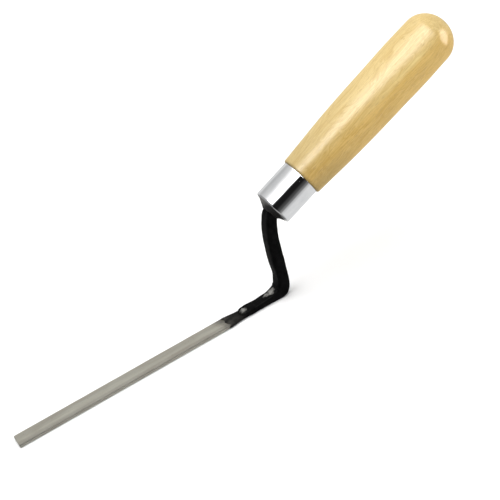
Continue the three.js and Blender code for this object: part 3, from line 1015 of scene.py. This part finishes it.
# Brightness of the softbox in the same terms, as a share of SOFTBOX_GLOW. It
# grows wider round SOFTBOX_MIDDLE towards the handle's butt.
SOFTBOX_GLOW = 7.0
SOFTBOX_MIDDLE = math.radians(31)
SOFTBOX_WIDENING = 2.3
SOFTBOX_WIDE_AT = 0.27
SOFTBOX = [
    (-180, 0),
    (8, 0),
    (16, 0.45),
    (22, 1),
    (35, 1),
    (46, 0.4),
    (54, 0.05),
    (70, 0),
    (180, 0),
]

# Dimming of each along the handle's axis, as (distance from the grip in room
# radii, factor): from the blade's end to the butt's end.
ROOM_ENDS = [(-1, 0.5), (-0.5, 0.5), (-0.25, 1), (0.55, 1), (0.85, 0.5), (1, 0.5)]
SOFTBOX_ENDS = [(-1, 0), (-0.35, 0), (-0.2, 1), (0.45, 1), (0.62, 0), (1, 0)]


class Glow(Nodes):
    """A material that glows and does nothing else."""

    def __init__(self, name, strength=1.0):
        super().__init__(name)
        self.nodes.remove(self.nodes["Principled BSDF"])
        self.emission = self.add("Emission", {"Strength": strength})
        surface = self.nodes["Material Output"].inputs["Surface"]
        self.links.new(self.emission.outputs[0], surface)

    def curve(self, value, low, high, stops):
        """Grey that follows (place, grey) stops as the value goes from low to high."""
        first, last = stops[0][0], stops[-1][0]
        spread = [((place - first) / (last - first), grey) for place, grey in stops]
        return self.ramp(self.between(value, low, high), *spread, interpolation="EASE")


def room_material():
    """Glow that follows ROOM and SOFTBOX round the Y axis, and dims along it."""
    glow = Glow("room")
    place = glow.add("TexCoord", {}).outputs["Object"]
    split = glow.add("SeparateXYZ", {0: place}).outputs
    angle = glow.math("ARCTAN2", split["Z"], split["X"])
    along = glow.math("DIVIDE", split["Y"], ROOM_RADIUS)
    walls = glow.curve(angle, -math.pi, math.pi, ROOM)
    walls = glow.math("MULTIPLY", walls, glow.curve(along, -1, 1, ROOM_ENDS))
    widening = {
        "Value": along,
        "From Max": SOFTBOX_WIDE_AT,
        "To Min": 1.0,
        "To Max": SOFTBOX_WIDENING,
    }
    aside = glow.math("SUBTRACT", angle, SOFTBOX_MIDDLE)
    aside = glow.math("DIVIDE", aside, glow.add("MapRange", widening).outputs[0])
    aside = glow.math("ADD", aside, SOFTBOX_MIDDLE)
    box = glow.curve(aside, -math.pi, math.pi, SOFTBOX)
    box = glow.math("MULTIPLY", box, glow.curve(along, -1, 1, SOFTBOX_ENDS))
    box = glow.math("MULTIPLY", box, SOFTBOX_GLOW)
    glow.links.new(glow.math("ADD", walls, box), glow.emission.inputs["Strength"])
    return glow.material


def paper_material():
    material = bpy.data.materials.new("paper")
    material.use_nodes = True
    shader = material.node_tree.nodes["Principled BSDF"]
    shader.inputs["Base Color"].default_value = rgba(PAPER_WHITE)
    shader.inputs["Roughness"].default_value = 0.8
    shader.inputs["Specular IOR Level"].default_value = 0.2
    return material


def stage_sheet(name, width, length, matrix, material):
    """A flat stage sheet that faces its own +Z."""
    corners = [(-1, -1), (1, -1), (1, 1), (-1, 1)]
    mesh = bpy.data.meshes.new(name)
    mesh.from_pydata([(x * width / 2, y * length / 2, 0) for x, y in corners], [], [(0, 1, 2, 3)])
    mesh.materials.append(material)
    sheet = linked(name, mesh, matrix)
    return sheet


def only_reflected(sheet):
    """Hides a stage piece from all but reflections, as a studio card is."""
    for ray in ("camera", "diffuse", "shadow", "transmission", "volume_scatter"):
        setattr(sheet, "visible_" + ray, False)
    sheet.data.materials[0].cycles.emission_sampling = "NONE"


def facing_grip(place, upright):
    """A matrix at `place` whose Z axis points at the grip, with X along `upright`."""
    z = (GRIP_MIDDLE - place).normalized()
    x = (upright - z * upright.dot(z)).normalized()
    y = z.cross(x)
    turn = Matrix((x, y, z)).transposed().to_4x4()
    return Matrix.Translation(place) @ turn


def make_world():
    world = bpy.data.worlds.new("studio")
    world.use_nodes = True
    sky = world.node_tree.nodes["Background"]
    sky.inputs["Color"].default_value = rgba(1.0)
    sky.inputs["Strength"].default_value = WORLD_STRENGTH
    bpy.context.scene.world = world


def make_floor():
    """A sheet of pale paper just under the tool, which reflections don't see."""
    place = Matrix.Translation((0, 0, -FLOOR_DROP))
    floor = stage_sheet("floor", FLOOR_SIZE, FLOOR_SIZE, place, paper_material())
    floor.visible_glossy = False


def make_room(turn):
    """A sphere round the tool that only reflections see."""
    mesh = bpy.data.meshes.new("room")
    shell = bmesh.new()
    bmesh.ops.create_uvsphere(shell, u_segments=48, v_segments=24, radius=ROOM_RADIUS)
    shell.to_mesh(mesh)
    shell.free()
    mesh.materials.append(room_material())
    room = linked("room", mesh, Matrix.Translation(GRIP_MIDDLE) @ turn)
    only_reflected(room)


def make_window():
    """A bright card that only reflections see, for the glint on the butt."""
    place = GRIP_MIDDLE + WINDOW_DIRECTION.normalized() * WINDOW_DISTANCE
    matrix = facing_grip(place, WINDOW_UPRIGHT)
    material = Glow("window", WINDOW_GLOW).material
    only_reflected(stage_sheet("window", WINDOW_HEIGHT, WINDOW_WIDTH, matrix, material))


def make_fill(place, axis):
    """A wide soft light above the grip, which reflections don't see."""
    data = bpy.data.lights.new("fill", "AREA")
    data.shape = "RECTANGLE"
    data.size = FILL_SIZE
    data.size_y = FILL_SIZE
    data.energy = FILL_ENERGY
    backwards = Matrix.Rotation(math.pi, 4, "X")
    light = linked("fill", data, facing_grip(place, axis) @ backwards)
    light.visible_glossy = False


def make_lights(back):
    """Lights the handle, with `back` the direction to the camera."""
    axis = (HANDLE_AXES.matrix.to_3x3() @ Vector((1, 0, 0))).normalized()
    towards = (back - axis * back.dot(axis)).normalized()
    above = towards.cross(axis)
    make_room(Matrix((towards, axis, above)).transposed().to_4x4())
    make_window()
    out = towards * math.cos(FILL_ANGLE) + above * math.sin(FILL_ANGLE)
    make_fill(GRIP_MIDDLE + out * FILL_DISTANCE + axis * FILL_SHIFT, axis)


camera_direction = make_camera()
make_world()
make_floor()
make_lights(camera_direction)
bpy.context.scene.view_settings.view_transform = "Standard"
